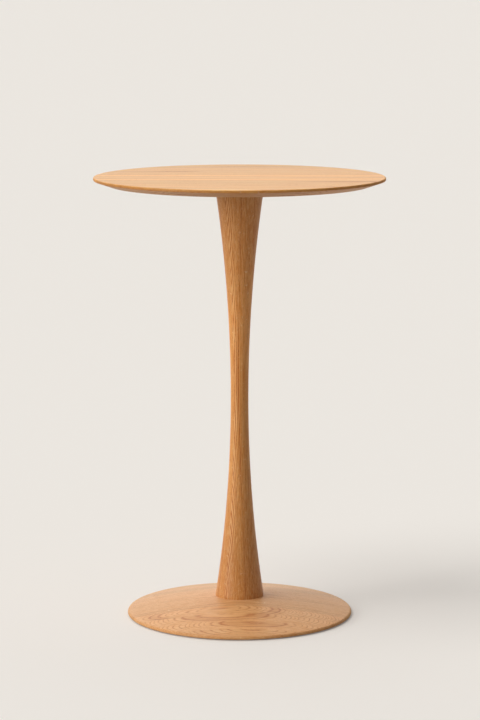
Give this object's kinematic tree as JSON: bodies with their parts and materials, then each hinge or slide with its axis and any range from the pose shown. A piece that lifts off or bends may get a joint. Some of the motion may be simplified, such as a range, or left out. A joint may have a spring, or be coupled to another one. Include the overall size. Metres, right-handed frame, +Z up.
{
  "type": "bar table",
  "caption": "Round pedestal bar table in solid oak: thin top bevelled underneath, turned column with a waist at half height, low domed foot disc on felt glides.",
  "frame": {"origin": "on the floor, at the middle of the foot disc, on the column's axis", "axes": "+Z up along the column, +X along the boards of top and foot disc, to the right as seen in the picture, +Y away from the viewer"},
  "size_m": [0.7, 0.7, 1.07],
  "materials": {
    "oak_boards": "hard-wax oiled oak, satin",
    "oak_column": "hard-wax oiled turned oak, satin",
    "oak_base": "hard-wax oiled turned oak, satin",
    "black_steel": "black powder coat",
    "zinc_steel": "bright zinc plated",
    "insert_brass": "turned brass",
    "grey_felt": "pressed wool felt"
  },
  "bodies": {
    "root": {"table_top": "oak_boards", "top_inserts": "insert_brass", "top_plate": "black_steel", "plate_washers": "zinc_steel", "plate_screws": "zinc_steel", "head_bolts": "zinc_steel", "head_inserts": "insert_brass", "column": "oak_column", "foot_inserts": "insert_brass", "foot_bolts": "zinc_steel", "base_disc": "oak_base", "ballast_plate": "black_steel", "ballast_screws": "zinc_steel", "felt_glides": "grey_felt"}
  },
  "joints": []
}
